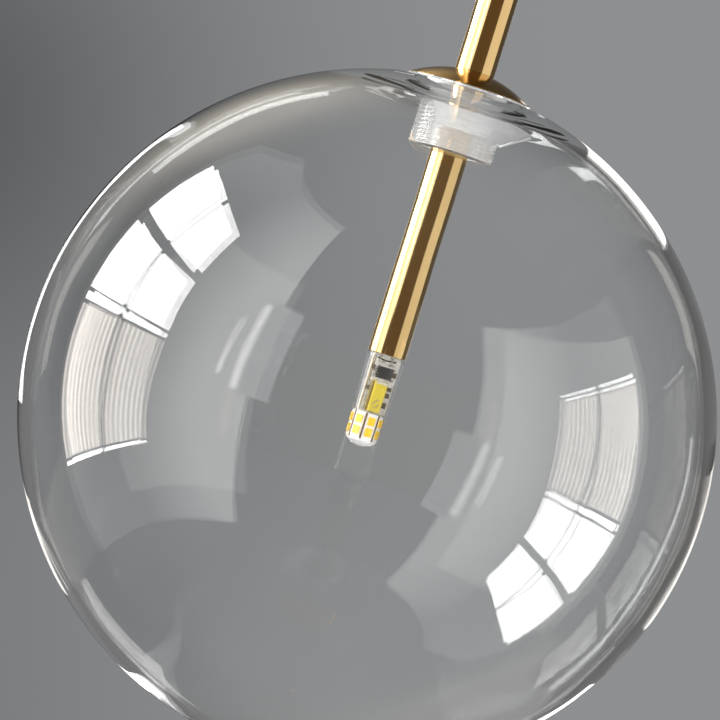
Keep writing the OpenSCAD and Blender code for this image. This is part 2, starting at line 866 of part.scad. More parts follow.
module capsule_outline() {
    body_l = lamp_l - tip_h;
    tip_r = lamp_tip_d / 2;
    round_r = (tip_r * tip_r + tip_h * tip_h) / (2 * tip_h);
    translate([0, 0, lamp_top_z - body_l]) cylinder(r1 = tip_r, r2 = lamp_d / 2, h = body_l);
    intersection() {
        translate([0, 0, lamp_top_z - lamp_l + round_r]) sphere(r = round_r);
        translate([0, 0, lamp_top_z - lamp_l - 1]) cylinder(r = tip_r, h = tip_h + 1);
    }
}

module lamp_capsule() {
    color(clear)
    difference() {
        capsule_outline();
        lamp_emitter();
        lamp_leds();
        lamp_seams();
        lamp_board();
        lamp_chip();
        lamp_inductor();
        lamp_small_parts();
        lamp_pins();
    }
}

emitter_apothem = emitter_r * cos(30);

module lamp_emitter() {
    color(white_plastic)
    at_lamp(emitter_top + emitter_l)
        difference() {
            cylinder(r = emitter_r, h = emitter_l, $fn = 6);
            for (a = [0 : 60 : 300])
                rotate([0, 0, a]) translate([emitter_r - 0.35, -1, -1]) cube([2, 2, emitter_l + 2]);
        }
}

// One dark seam along each corner of the emitter block
module lamp_seams() {
    color([0.35, 0.24, 0.12])
    at_lamp(emitter_top + emitter_l)
        for (a = [0 : 60 : 300])
            rotate([0, 0, a]) translate([emitter_r - 0.35, -0.3, 0]) cube([0.4, 0.6, emitter_l]);
}

module lamp_leds() {
    color([0.98, 0.8, 0.2])
    at_lamp(emitter_top + emitter_l / 2)
        for (a = [30 : 60 : 330], row = [-0.5, 0.5])
            rotate([0, 0, a])
                translate([emitter_apothem, -led_w / 2, row * led_pitch - led_h / 2])
                    cube([led_t, led_w, led_h]);
}

// The board stands above the emitter block, its parts face -Y before the lamp is turned
module lamp_board() {
    color([0.78, 0.7, 0.5])
    at_lamp(0.4 + board_l) translate([-board_w / 2, -board_t / 2, 0]) cube([board_w, board_t, board_l]);
}

module lamp_chip() {
    color([0.1, 0.1, 0.1])
    at_lamp(10) translate([-1.9, -board_t / 2 - 1.6, 0]) cube([5, 1.6, 5]);
}

module lamp_inductor() {
    color([0.74, 0.66, 0.2])
    at_lamp(24.5) translate([-2.4, -board_t / 2 - 3.2, 0]) cube([4.6, 3.2, 13]);
}

// Each small part is [x, depth, width, length]
small_parts = [
    [3.4, 8.5, 1.2, 2.2], [3, 14.5, 1.4, 1.6], [3.1, 17.5, 1.2, 2],
    [2.8, 22, 1.4, 2.4], [-4.2, 7, 1.2, 2], [-4.2, 16, 1, 1.8]
];

module lamp_small_parts() {
    color([0.25, 0.2, 0.15])
    for (p = small_parts)
        at_lamp(p[1]) translate([p[0], -board_t / 2 - 0.6, 0]) cube([p[2], 0.6, p[3]]);
}

module lamp_pins() {
    color(steel)
    for (s = [-1, 1])
        translate([0, s * pin_pitch / 2, lamp_top_z - 0.38]) cylinder(d = pin_d, h = pin_l + 0.38, $fn = 24);
}

ceiling_plate();
canopy();
canopy_screws();
terminal_block();
terminal_inserts();
terminal_screws();
plate_screws();
driver_case();
driver_lid();
earth_screw();
earth_lug();
earth_lead();
primary_leads();
supply_leads();
canopy_nipple();
canopy_nut();
canopy_washer();
swivel_cup();
swivel_ring();
thrust_washer();
stop_screw();
swivel_fork();
pivot_screws();
fork_leads();
knuckle();
upper_tube();
upper_tube_plug();
joint_nipple();
dome();
dome_gasket();
threaded_sleeve();
ring_gasket();
retaining_ring();
globe();
lower_tube_plug();
lower_tube();
lampholder();
lampholder_contacts();
lampholder_clip();
rod_leads();
lamp_capsule();
lamp_emitter();
lamp_leds();
lamp_seams();
lamp_board();
lamp_chip();
lamp_inductor();
lamp_small_parts();
lamp_pins();
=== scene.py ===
import json
import math

import bmesh
import bpy
from mathutils import Matrix, Vector, noise

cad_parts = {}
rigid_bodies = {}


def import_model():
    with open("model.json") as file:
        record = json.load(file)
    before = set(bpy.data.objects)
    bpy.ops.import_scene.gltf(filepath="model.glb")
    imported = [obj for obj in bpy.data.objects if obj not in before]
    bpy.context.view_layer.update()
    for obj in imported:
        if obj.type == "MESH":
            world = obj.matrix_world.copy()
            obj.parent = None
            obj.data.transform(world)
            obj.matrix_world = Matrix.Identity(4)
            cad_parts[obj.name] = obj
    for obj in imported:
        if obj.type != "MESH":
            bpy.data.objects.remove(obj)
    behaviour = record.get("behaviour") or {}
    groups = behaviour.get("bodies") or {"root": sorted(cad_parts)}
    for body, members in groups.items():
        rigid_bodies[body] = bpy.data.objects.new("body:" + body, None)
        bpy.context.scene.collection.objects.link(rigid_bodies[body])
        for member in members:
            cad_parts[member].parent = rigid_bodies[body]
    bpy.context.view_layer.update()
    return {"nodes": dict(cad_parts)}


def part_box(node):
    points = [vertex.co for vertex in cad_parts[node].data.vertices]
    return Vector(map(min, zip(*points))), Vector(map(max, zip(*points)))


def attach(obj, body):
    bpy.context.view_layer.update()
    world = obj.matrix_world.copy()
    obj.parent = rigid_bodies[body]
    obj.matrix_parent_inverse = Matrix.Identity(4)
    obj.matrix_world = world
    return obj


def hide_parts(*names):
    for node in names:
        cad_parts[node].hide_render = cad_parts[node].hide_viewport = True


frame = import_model()
nodes = frame["nodes"]
scene = bpy.context.scene
MM = 0.001

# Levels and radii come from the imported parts, in metres
globe_lo, globe_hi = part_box("globe")
sleeve_lo, sleeve_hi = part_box("threaded_sleeve")
dome_lo, dome_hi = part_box("dome")
utube_lo, utube_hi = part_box("upper_tube")
ltube_lo, ltube_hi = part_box("lower_tube")
lamp_lo, lamp_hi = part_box("lamp_capsule")
ring_lo, ring_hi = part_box("retaining_ring")
gasket_lo, gasket_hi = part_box("dome_gasket")
rgasket_lo, rgasket_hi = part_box("ring_gasket")
globe_r = (globe_hi.x - globe_lo.x) / 2
globe_z = globe_lo.z + globe_r
flat_z = globe_hi.z

# Sizes that the parts' boxes don't show, as in the CAD
sleeve_r = 18.9 * MM
hole_r = 19.5 * MM
bore_r = 5.2 * MM
wall = 4.6 * MM
neck_z = flat_z - 8.4 * MM
lamp_turn = math.radians(24)

# Clear parts that touch in the CAD end this much short of it; points nearer than TINY are one
AIR = 0.03 * MM
TINY = 1e-7


# ---- Nodes and materials ----

MATS = {}


def new_material(name):
    m = bpy.data.materials.new(name)
    m.use_nodes = True
    t = m.node_tree
    t.nodes.clear()
    out = t.nodes.new("ShaderNodeOutputMaterial")
    return m, t, out


def add(tree, kind, inputs=None, **props):
    n = tree.nodes.new(kind)
    for k, v in props.items():
        setattr(n, k, v)
    for k, v in (inputs or {}).items():
        if isinstance(v, bpy.types.NodeSocket):
            tree.links.new(v, n.inputs[k])
        else:
            n.inputs[k].default_value = v
    return n


def maths(tree, op, a, b=0.0, clamp=False):
    n = add(tree, "ShaderNodeMath", {0: a, 1: b}, operation=op)
    n.use_clamp = clamp
    return n.outputs[0]


def coords(tree, scale=(1, 1, 1)):
    place = add(tree, "ShaderNodeTexCoord").outputs["Object"]
    return add(tree, "ShaderNodeMapping", {"Vector": place, "Scale": scale}).outputs[0]


def noise_tex(tree, vector, scale, detail, rough):
    inputs = {"Vector": vector, "Scale": scale, "Detail": detail, "Roughness": rough}
    return add(tree, "ShaderNodeTexNoise", inputs).outputs[0]


def spread(tree, value, low, high, start=0.3, end=0.7):
    """Low where value is at start, high where it is at end."""
    n = add(tree, "ShaderNodeMapRange", {0: value, 1: start, 2: end, 3: low, 4: high})
    n.clamp = True
    return n.outputs[0]


def tint(tree, share, low, high):
    """A colour between low and high, each a colour or a socket."""
    low, high = (c if isinstance(c, bpy.types.NodeSocket) else (*c, 1) for c in (low, high))
    return add(tree, "ShaderNodeMix", {0: share, 6: low, 7: high}, data_type="RGBA").outputs[2]


def relief(tree, height, strength, distance):
    inputs = {"Height": height, "Strength": strength, "Distance": distance}
    return add(tree, "ShaderNodeBump", inputs).outputs[0]


def turning_marks(tree, rings):
    """Fine lines round the Z axis; rings is how many there are in a metre, about."""
    place = add(tree, "ShaderNodeTexCoord").outputs["Object"]
    flat = add(tree, "ShaderNodeVectorMath", {0: place, 1: (1, 1, 0)}, operation="MULTIPLY").outputs[0]
    away = add(tree, "ShaderNodeVectorMath", {0: flat}, operation="LENGTH").outputs[1]
    inputs = {"W": maths(tree, "MULTIPLY", away, rings), "Scale": 1.0, "Detail": 3.0}
    return add(tree, "ShaderNodeTexNoise", inputs, noise_dimensions="1D").outputs[0]


def solid(name, dark, light, rough, grain, metallic=0.0, stretch=(1, 1, 1), bump=0.1, depth=0.05 * MM,
          patches=60.0, coat=0.0, rings=0.0):
    """Colour and roughness wander with soft patches; grain is the fine surface relief."""
    m, t, out = new_material(name)
    soft = noise_tex(t, coords(t), patches, 4.0, 0.6)
    fine = noise_tex(t, coords(t, stretch), grain, 2.0, 0.55)
    height = fine
    if rings:
        height = maths(t, "ADD", maths(t, "MULTIPLY", fine, 0.3), turning_marks(t, rings))
    wander = maths(t, "ADD", maths(t, "MULTIPLY", soft, 0.6), maths(t, "MULTIPLY", fine, 0.4))
    b = add(t, "ShaderNodeBsdfPrincipled", {
        "Base Color": tint(t, spread(t, wander, 0.0, 1.0), dark, light),
        "Roughness": spread(t, wander, *rough),
        "Metallic": metallic,
        "Coat Weight": coat,
        "Coat Roughness": 0.08,
        "Normal": relief(t, height, bump, depth),
    })
    t.links.new(b.outputs[0], out.inputs[0])
    MATS[name] = m


def clear(name, colour, ior, rough, waves, bump, depth, clarity=1.0):
    """A clear material with faint smears in its polish and a slow wave; what isn't clear is matt."""
    m, t, out = new_material(name)
    smear = noise_tex(t, coords(t), 35.0, 5.0, 0.65)
    slow = noise_tex(t, coords(t), waves, 1.0, 0.4)
    b = add(t, "ShaderNodeBsdfPrincipled", {
        "Base Color": (*colour, 1),
        "Roughness": spread(t, smear, *rough, 0.45, 0.8),
        "IOR": ior,
        "Transmission Weight": clarity,
        "Normal": relief(t, slow, bump, depth),
    })
    t.links.new(b.outputs[0], out.inputs[0])
    MATS[name] = m


for m in list(bpy.data.materials):
    bpy.data.materials.remove(m)

solid("polished_brass", (0.80, 0.54, 0.235), (0.90, 0.645, 0.31), (0.06, 0.13), grain=420.0, metallic=1.0,
      stretch=(3, 3, 0.02), depth=0.03 * MM, patches=25.0)
solid("satin_brass", (0.70, 0.44, 0.15), (0.82, 0.56, 0.22), (0.11, 0.19), grain=1800.0, metallic=1.0,
      bump=0.09, depth=0.03 * MM, patches=45.0, rings=2600.0)
solid("raw_brass", (0.55, 0.40, 0.18), (0.76, 0.60, 0.30), (0.3, 0.5), grain=1500.0, metallic=1.0)
solid("zinc_steel", (0.52, 0.53, 0.55), (0.74, 0.75, 0.77), (0.22, 0.42), grain=1400.0, metallic=1.0)
solid("tinned_copper", (0.62, 0.50, 0.40), (0.84, 0.74, 0.64), (0.2, 0.4), grain=1600.0, metallic=1.0)
solid("white_plastic", (0.74, 0.74, 0.72), (0.84, 0.84, 0.82), (0.38, 0.55), grain=2600.0, bump=0.2)
solid("nylon", (0.78, 0.76, 0.70), (0.88, 0.87, 0.82), (0.4, 0.6), grain=2000.0)
solid("ceramic", (0.74, 0.72, 0.65), (0.86, 0.84, 0.79), (0.5, 0.7), grain=3000.0, bump=0.3)
solid("green_yellow_lead", (0.20, 0.42, 0.06), (0.30, 0.55, 0.09), (0.25, 0.4), grain=1200.0)
solid("brown_lead", (0.13, 0.055, 0.025), (0.19, 0.085, 0.04), (0.25, 0.4), grain=1200.0)
solid("clear_lead", (0.66, 0.64, 0.58), (0.80, 0.79, 0.74), (0.2, 0.35), grain=1200.0, coat=0.4)
solid("emitter_white", (0.86, 0.86, 0.85), (0.93, 0.93, 0.92), (0.3, 0.45), grain=4000.0)
solid("led_phosphor", (0.96, 0.50, 0.015), (0.99, 0.74, 0.05), (0.2, 0.35), grain=5000.0, bump=0.3,
      patches=500.0, coat=0.6)
solid("seam_brown", (0.10, 0.055, 0.02), (0.17, 0.10, 0.04), (0.4, 0.6), grain=4000.0)
solid("board_gold", (0.40, 0.37, 0.30), (0.74, 0.72, 0.66), (0.2, 0.4), grain=3000.0, patches=700.0)
solid("chip_black", (0.012, 0.012, 0.012), (0.03, 0.03, 0.03), (0.4, 0.6), grain=5000.0, bump=0.3)
solid("inductor_gold", (0.56, 0.43, 0.035), (0.70, 0.56, 0.06), (0.25, 0.4), grain=1500.0, patches=300.0,
      coat=0.5)
solid("small_parts_dark", (0.05, 0.035, 0.02), (0.10, 0.07, 0.04), (0.3, 0.5), grain=4000.0)
clear("clear_glass", (0.985, 0.992, 0.99), 1.47, (0.0, 0.012), waves=9.0, bump=0.05, depth=0.8 * MM)
clear("clear_acrylic", (0.985, 0.988, 0.985), 1.49, (0.0, 0.02), waves=160.0, bump=0.03, depth=0.2 * MM,
      clarity=0.87)
clear("clear_silicone", (0.97, 0.974, 0.97), 1.41, (0.01, 0.06), waves=300.0, bump=0.05, depth=0.2 * MM)
clear("lamp_silicone", (0.99, 0.99, 0.985), 1.41, (0.0, 0.025), waves=240.0, bump=0.12, depth=0.3 * MM)

SLOT_OF = {}


def slots(slot, names):
    for n in names.split():
        SLOT_OF[n] = slot


slots("zinc_steel", "ceiling_plate terminal_screws plate_screws canopy_nipple canopy_nut canopy_washer "
      "stop_screw joint_nipple lampholder_clip lamp_pins")
slots("satin_brass", "canopy canopy_screws swivel_cup swivel_ring swivel_fork pivot_screws knuckle dome")
slots("raw_brass", "terminal_inserts earth_screw upper_tube_plug lower_tube_plug")
slots("polished_brass", "upper_tube lower_tube")
slots("white_plastic", "terminal_block driver_case driver_lid")
slots("tinned_copper", "earth_lug lampholder_contacts")
slots("nylon", "thrust_washer")
slots("ceramic", "lampholder")
slots("green_yellow_lead", "earth_lead")
slots("brown_lead", "primary_leads")
slots("clear_lead", "supply_leads fork_leads rod_leads")
slots("clear_silicone", "dome_gasket ring_gasket")
slots("clear_acrylic", "threaded_sleeve retaining_ring")
slots("clear_glass", "globe")
slots("lamp_silicone", "lamp_capsule")
slots("emitter_white", "lamp_emitter")
slots("led_phosphor", "lamp_leds")
slots("seam_brown", "lamp_seams")
slots("board_gold", "lamp_board")
slots("chip_black", "lamp_chip")
slots("inductor_gold", "lamp_inductor")
slots("small_parts_dark", "lamp_small_parts")

for name, obj in nodes.items():
    obj.data.materials.clear()
    obj.data.materials.append(MATS[SLOT_OF[name]])


# ---- Mesh helpers ----

def make(name, verts, faces, slot, body, replaced=(), angle=32.0, smooth=True):
    me = bpy.data.meshes.new(name)
    me.from_pydata(verts, [], faces)
    bm = bmesh.new()
    bm.from_mesh(me)
    bmesh.ops.remove_doubles(bm, verts=bm.verts, dist=TINY)
    bmesh.ops.recalc_face_normals(bm, faces=bm.faces)
    bm.to_mesh(me)
    bm.free()
    if smooth:
        me.shade_smooth()
        me.set_sharp_from_angle(angle=math.radians(angle))
    obj = bpy.data.objects.new(name, me)
    scene.collection.objects.link(obj)
    me.materials.append(MATS[slot])
    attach(obj, body)
    if replaced:
        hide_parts(*replaced)
    return obj


def revolve(profile, segments, closed=True, shift=None):
    """Turns (r, z) points round the Z axis; shift(r, z, angle) may move a point."""
    verts, faces = [], []
    for i in range(segments):
        a = 2 * math.pi * i / segments
        for r, z in profile:
            rr, zz = shift(r, z, a) if shift else (r, z)
            verts.append((rr * math.cos(a), rr * math.sin(a), zz))
    n = len(profile)
    for i in range(segments):
        j = (i + 1) % segments
        for k in range(n if closed else n - 1):
            m = (k + 1) % n
            quad = [i * n + k, j * n + k, j * n + m, i * n + m]
            # a quad that ends on the axis is a triangle
            if profile[k][0] < TINY:
                quad = [quad[0], quad[2], quad[3]]
            elif profile[m][0] < TINY:
                quad = quad[:3]
            faces.append(quad)
    return verts, faces


def arc(r, z, radius, start, end, steps):
    """Points (r, z) along an arc, both ends included; its angles are measured from straight up."""
    angles = [start + (end - start) * i / steps for i in range(steps + 1)]
    return [(r + radius * math.sin(a), z + radius * math.cos(a)) for a in angles]


def rounded(points, radius, steps=4):
    """Rounds each corner of a closed outline of (r, z) points."""
    most = 0.45
    out = []
    n = len(points)
    for i in range(n):
        p, c, q = (Vector((*points[j % n], 0)) for j in (i - 1, i, i + 1))
        a, b = (p - c), (q - c)
        cut = min(radius, a.length * most, b.length * most)
        a, b = c + a.normalized() * cut, c + b.normalized() * cut
        for k in range(steps + 1):
            t = k / steps
            v = a * (1 - t) ** 2 + c * 2 * t * (1 - t) + b * t * t
            out.append((v.x, v.y))
    return out


# ---- Globe: a blown shell, thicker towards the flat ground on its top ----

def globe_profile():
    inner = globe_r - wall
    edge_r = 34.3 * MM
    steps = 150
    outer = arc(0, globe_z, globe_r, math.pi, math.asin(edge_r / globe_r), steps)
    # the ground flat, with a small polished round at its outer edge and at the hole
    top = [(edge_r - 0.3 * MM, flat_z - 0.04 * MM), (edge_r - 0.7 * MM, flat_z)]
    top += [(r * MM, flat_z) for r in (30, 26, 22)]
    top += [(hole_r + 0.5 * MM, flat_z), (hole_r + 0.15 * MM, flat_z - 0.12 * MM),
            (hole_r, flat_z - 0.5 * MM), (hole_r, flat_z - 4 * MM), (hole_r, neck_z + 0.5 * MM),
            (hole_r + 0.15 * MM, neck_z + 0.12 * MM), (hole_r + 0.5 * MM, neck_z)]
    top += [(r * MM, neck_z) for r in (24, 30)]
    # the inner surface is a ball below, and an arc leads from it up to the inner flat
    arc_r = 60 * MM
    arc_z = neck_z - globe_z - arc_r
    arc_away = math.sqrt((inner - arc_r) ** 2 - arc_z ** 2)
    touch = math.pi / 2 - math.atan2(arc_z, arc_away)
    thickening = arc(arc_away, globe_z + arc_z, arc_r, 0, touch, 30)
    ball = arc(0, globe_z, inner, touch, math.pi, steps)
    return outer + top + thickening + ball[1:]


def globe_shift(r, z, a):
    """The blown inner surface wanders a little; the outside and the ground neck stay true."""
    wander = 0.35 * MM
    true_above = globe_z + 0.8 * globe_r
    fade_over = 0.3 * globe_r
    d = math.hypot(r, z - globe_z)
    if d > globe_r - 1 * MM or z > true_above:
        return r, z
    p = Vector((r * math.cos(a), r * math.sin(a), z - globe_z)) / globe_r
    broad = noise.noise(p * 1.7 + Vector((3.1, 7.7, 1.3)))
    fine = noise.noise(p * 4.3 + Vector((9.2, 0.4, 5.5)))
    fade = min(1.0, max(0.0, (true_above - z) / fade_over))
    k = 1 + wander * (broad + 0.35 * fine) * fade / d
    return r * k, globe_z + (z - globe_z) * k


verts, faces = revolve(globe_profile(), 224, closed=False, shift=globe_shift)
make("globe_shell", verts, faces, "clear_glass", "rod", ["globe"], angle=12.0)


# ---- Sleeve with a real helical thread, flange on top ----

def sleeve():
    pitch, depth = 1.75 * MM, 0.75 * MM
    top = flat_z + 0.7 * MM
    bottom = sleeve_lo.z
    flange_r, flange_top = sleeve_hi.x, sleeve_hi.z - AIR
    bore, web = 8.4 * MM, flat_z - 3 * MM
    rows, corner = 12, 4
    steps = int((top - bottom) / pitch * rows)
    prof = [(bore_r, web), (bore_r, flange_top)]
    flange = [(bore_r, flange_top), (flange_r, flange_top), (flange_r, top), (sleeve_r - depth, top)]
    # only the flange's two outer corners are rounded
    prof += rounded(flange, 0.25 * MM, corner)[corner + 1:-corner - 1]
    prof += [(sleeve_r, top - (top - bottom) * i / steps) for i in range(steps + 1)]
    prof += [(sleeve_r - 1.2 * MM, bottom), (bore + 0.3 * MM, bottom), (bore, bottom + 0.3 * MM)]
    prof += [(bore, web)]

    def shift(r, z, a):
        if abs(r - sleeve_r) > TINY:
            return r, z
        turn = ((z - bottom) / pitch - a / (2 * math.pi)) % 1.0
        # a rounded trapezoid thread: crest, flank, root, flank
        h = 0.5 + 0.5 * math.cos(2 * math.pi * turn)
        h = min(1.0, max(0.0, (h - 0.18) / 0.64))
        h = h * h * (3 - 2 * h)
        fade = min(1.0, (z - bottom) / (0.9 * MM)) * min(1.0, max(0.0, (top - z) / (1.2 * MM)))
        return r - depth * (1 - h * fade), z

    v, f = revolve(prof, 144, shift=shift)
    make("sleeve_helix", v, f, "clear_acrylic", "rod", ["threaded_sleeve"], angle=50.0)


sleeve()


# ---- Gaskets, retaining ring ----

def soft_ring(name, lo, hi, r_in, node):
    r_out = hi.x
    low, high = lo.z + AIR, hi.z - AIR
    p = rounded([(r_in, low), (r_out, low), (r_out, high), (r_in, high)], 0.3 * MM, 5)
    v, f = revolve(p, 160)
    make(name, v, f, "clear_silicone", "rod", [node], angle=60.0)


soft_ring("gasket_top", gasket_lo, gasket_hi, hole_r, "dome_gasket")
soft_ring("gasket_under", rgasket_lo, rgasket_hi, hole_r, "ring_gasket")


def split_ring():
    """A conical ring with a gap on its -X side."""
    half_gap = math.radians(65)
    bore = sleeve_r + 0.02 * MM
    low_r, top_r = sleeve_r + 1.6 * MM, ring_hi.x
    lo, hi = ring_lo.z, ring_hi.z - AIR
    p = rounded([(bore, lo), (low_r, lo), (top_r, hi - 0.8 * MM), (top_r, hi), (bore, hi)], 0.35 * MM)
    segments = 110
    start = half_gap - math.pi
    verts, faces = [], []
    n = len(p)
    for i in range(segments + 1):
        a = start - 2 * start * i / segments
        verts += [(r * math.cos(a), r * math.sin(a), z) for r, z in p]
    for i in range(0, segments * n, n):
        for k in range(n):
            m = (k + 1) % n
            faces.append([i + k, i + n + k, i + n + m, i + m])
    faces += [list(range(n)), [segments * n + k for k in range(n - 1, -1, -1)]]
    make("ring_cone", verts, faces, "clear_acrylic", "rod", ["retaining_ring"], angle=35.0)


split_ring()


# ---- Brass: dome and tubes with their small turned edges ----

def dome():
    h, r = dome_hi.z - dome_lo.z, dome_hi.x
    ball = (r * r + h * h) / (2 * h)
    base = dome_lo.z
    tube_r = utube_hi.x
    seat = utube_lo.z
    edge_angle = math.asin((r - 0.25 * MM) / ball)
    tube_angle = math.asin((tube_r + 0.25 * MM) / ball)
    p = [(bore_r, base), (r - 0.5 * MM, base), (r - 0.12 * MM, base + 0.08 * MM), (r, base + 0.3 * MM)]
    p += arc(0, base + h - ball, ball, edge_angle, tube_angle, 60)[1:]
    p += [(tube_r + 0.05 * MM, p[-1][1] - 0.08 * MM), (tube_r + 0.02 * MM, seat), (bore_r, seat)]
    v, f = revolve(p, 192)
    make("dome_turned", v, f, "satin_brass", "rod", ["dome"], angle=30.0)


dome()


def tube(name, lo, hi, thickness, node):
    r = hi.x
    p = rounded([(r - thickness, lo.z), (r, lo.z), (r, hi.z), (r - thickness, hi.z)], 0.22 * MM)
    v, f = revolve(p, 192)
    return make(name, v, f, "polished_brass", "rod", [node], angle=40.0)


tube("tube_upper", utube_lo, utube_hi, 1.2 * MM, "upper_tube")
inner_tube = tube("tube_lower", ltube_lo, ltube_hi, 1.1 * MM, "lower_tube")
inner_tube.visible_glossy = False


# ---- Lamp: one clear moulded body with its parts embedded in it ----

def capsule():
    top_r, tip_r = lamp_hi.x, 7.2 * MM
    top, bottom = lamp_hi.z, lamp_lo.z
    tip_h = 3.5 * MM
    ball = (tip_r * tip_r + tip_h * tip_h) / (2 * tip_h)
    tip_top = bottom + tip_h
    p = arc(0, bottom + ball, ball, math.pi, math.pi - math.asin(tip_r / ball), 24)[:-1]
    p += [(tip_r - 0.12 * MM, tip_top - 0.15 * MM), (tip_r, tip_top + 0.25 * MM)]
    p += [(tip_r + (top_r - tip_r) * i / 12, tip_top + (top - tip_top) * i / 12) for i in range(1, 12)]
    p += [(top_r - 0.02 * MM, top - 0.5 * MM), (top_r - 0.2 * MM, top - 0.12 * MM), (top_r - 0.6 * MM, top),
          (top_r - 1.6 * MM, top - 0.05 * MM), (top_r - 2.2 * MM, top - 0.25 * MM),
          (top_r - 4 * MM, top - 0.3 * MM), (0.0, top - 0.3 * MM)]

    def shift(r, z, a):
        """The moulded side is slightly uneven."""
        v = Vector((r * math.cos(a), r * math.sin(a), z * 0.6)) * 260
        return (r * (1 + 0.006 * noise.noise(v)), z) if r > 2 * MM else (r, z)

    v, f = revolve(p, 96, closed=False, shift=shift)
    make("capsule_body", v, f, "lamp_silicone", "lamp", ["lamp_capsule"], angle=50.0)


capsule()


def in_lamp(x, y, depth):
    """A place in the lamp: across the board, out from it and down from the lamp's top, in millimetres."""
    x, y = x * MM, y * MM
    c, s = math.cos(lamp_turn), math.sin(lamp_turn)
    return (x * c - y * s, x * s + y * c, lamp_hi.z - depth * MM)


def bead_faces(rows, sides):
    """The faces of a skin over rows of points, closed at both ends."""
    faces = []
    for i in range(0, (rows - 1) * sides, sides):
        for j in range(sides):
            k = (j + 1) % sides
            faces.append((i + j, i + k, i + sides + k, i + sides + j))
    return faces + [tuple(range(sides)), tuple(range(rows * sides - 1, (rows - 1) * sides - 1, -1))]


def strand(name, points, width, slot, flat=1.0):
    """A wire, or a strip where flat is below 1, along points in the lamp."""
    sides = 8
    half = width / 2 * MM
    verts = []
    places = [Vector(in_lamp(*p)) for p in points]
    for i, c in enumerate(places):
        way_on = (places[min(i + 1, len(places) - 1)] - places[max(i - 1, 0)]).normalized()
        across = way_on.cross(Vector((math.sin(lamp_turn), -math.cos(lamp_turn), 0))).normalized()
        out_of = across.cross(way_on)
        for j in range(sides):
            a = 2 * math.pi * j / sides
            verts.append(c + across * (math.cos(a) * half) + out_of * (math.sin(a) * half * flat))
    make(name, [tuple(v) for v in verts], bead_faces(len(places), sides), slot, "lamp", angle=50.0)


def dome_blob(name, x, y, depth, w, h, tall, slot):
    """A mound on the board's face; the metal ones are solder and the white ones are painted glints."""
    verts, rows, sides = [], 5, 12
    for i in range(rows):
        a = math.pi / 2 * i / (rows - 0.6)
        for j in range(sides):
            b = 2 * math.pi * j / sides
            across = w / 2 * math.cos(a) * math.cos(b)
            down = h / 2 * math.cos(a) * math.sin(b)
            verts.append(in_lamp(x + across, y - tall * math.sin(a), depth + down))
    make(name, verts, bead_faces(rows, sides), slot, "lamp", angle=80.0)


def hexagon(radius):
    """The corners of the emitter block's outline."""
    turns = [math.radians(60 * k) for k in range(6)]
    return [(radius * math.cos(a), radius * math.sin(a)) for a in turns]


# The board's face, and the outside of the coil that stands on it
face = -0.5
coil = face - 3.2
coil_high = face - 3.26

strand("board_edge_track", [(-4.45, face - 0.02, d) for d in (1.0, 6, 12, 18, 24.4)], 0.6, "raw_brass",
       flat=0.3)
strand("board_dark_track", [(-3.75, face - 0.02, d) for d in (1.2, 5, 9, 12.6)], 0.34, "seam_brown",
       flat=0.3)
strand("coil_shadow_edge", [(-2.55, face - 1.5, d) for d in (11.8, 16, 20, 24.4)], 0.5, "seam_brown",
       flat=2.0)
strand("coil_top_band", [(-2.3, face - 3.25, 12.2), (0, face - 3.4, 12.0), (2.1, face - 3.25, 12.2)], 0.9,
       "board_gold", flat=0.3)
mark = [(-1.7, coil, 22.0), (-0.9, coil_high, 20.4), (0.1, coil_high, 19.4), (0.7, coil, 19.1)]
strand("coil_mark", mark, 0.34, "tinned_copper", flat=0.4)
mark = [(-0.7, coil, 23.0), (0.4, coil_high, 22.0), (1.5, coil, 20.6)]
strand("coil_mark_low", mark, 0.3, "tinned_copper", flat=0.4)

# Solder mounds and painted glints: place across the board, depth, width and height; every third one is matt
# white, a painted glint, and the rest are metal solder
MOUNDS_AND_PAINTED_GLINTS = ((-3.0, 5.2, 1.3, 1.0), (-2.9, 7.2, 1.2, 0.9), (-2.8, 9.4, 1.3, 1.0), (-3.1, 11.2, 1.0, 0.8),
          (3.6, 5.4, 1.0, 1.2), (3.7, 9.9, 1.0, 1.1), (0.4, 11.0, 2.0, 0.6), (2.2, 3.6, 2.4, 0.9),
          (-0.6, 3.1, 1.6, 0.8), (3.5, 12.8, 1.1, 1.3), (-3.4, 14.0, 0.8, 1.4), (-3.5, 19.0, 0.7, 1.2))
for i, (x, d, w, h) in enumerate(MOUNDS_AND_PAINTED_GLINTS):
    # the matt white mounds are painted glints, not solder
    dome_blob(f"solder_and_glint_{i}", x, face, d, w, h, 0.55, "zinc_steel" if i % 3 else "emitter_white")
for i, d in enumerate((5.6, 6.9, 8.2, 9.5)):
    leg = [(-1.85, face - 0.8, d), (-2.3, face - 0.7, d), (-2.5, face - 0.15, d), (-2.9, face - 0.1, d)]
    strand(f"chip_leg_left_{i}", leg, 0.45, "zinc_steel", flat=0.5)
for k, x in enumerate((-2.2, 2.0)):
    lead = [(x * 0.3, 0.0, 0.6), (x, face - 0.3, 1.4), (x, face - 0.35, 2.6), (x * 0.9, face - 0.2, 3.6)]
    strand(f"pin_lead_{k}", lead, 0.5, "tinned_copper")
strand("top_trace", [(-3.2, face - 0.1, 2.0), (0.0, face - 0.15, 2.4), (3.4, face - 0.1, 2.1)], 0.5,
       "chip_black", flat=0.4)
cap = [in_lamp(x, y, d) for r, d in ((6.3, 36.52), (6.0, 37.3), (3.9, 38.5)) for x, y in hexagon(r)]
make("emitter_cap", cap, bead_faces(3, 6), "emitter_white", "lamp", smooth=False)
strand("mould_line", [(-6.5, -0.6, d) for d in (1.6, 8, 16, 24.4)], 0.24, "zinc_steel")
corners = hexagon(6.2)
strand("emitter_rim", [(x, y, 25.1) for x, y in corners + corners[:1]], 0.28, "zinc_steel")

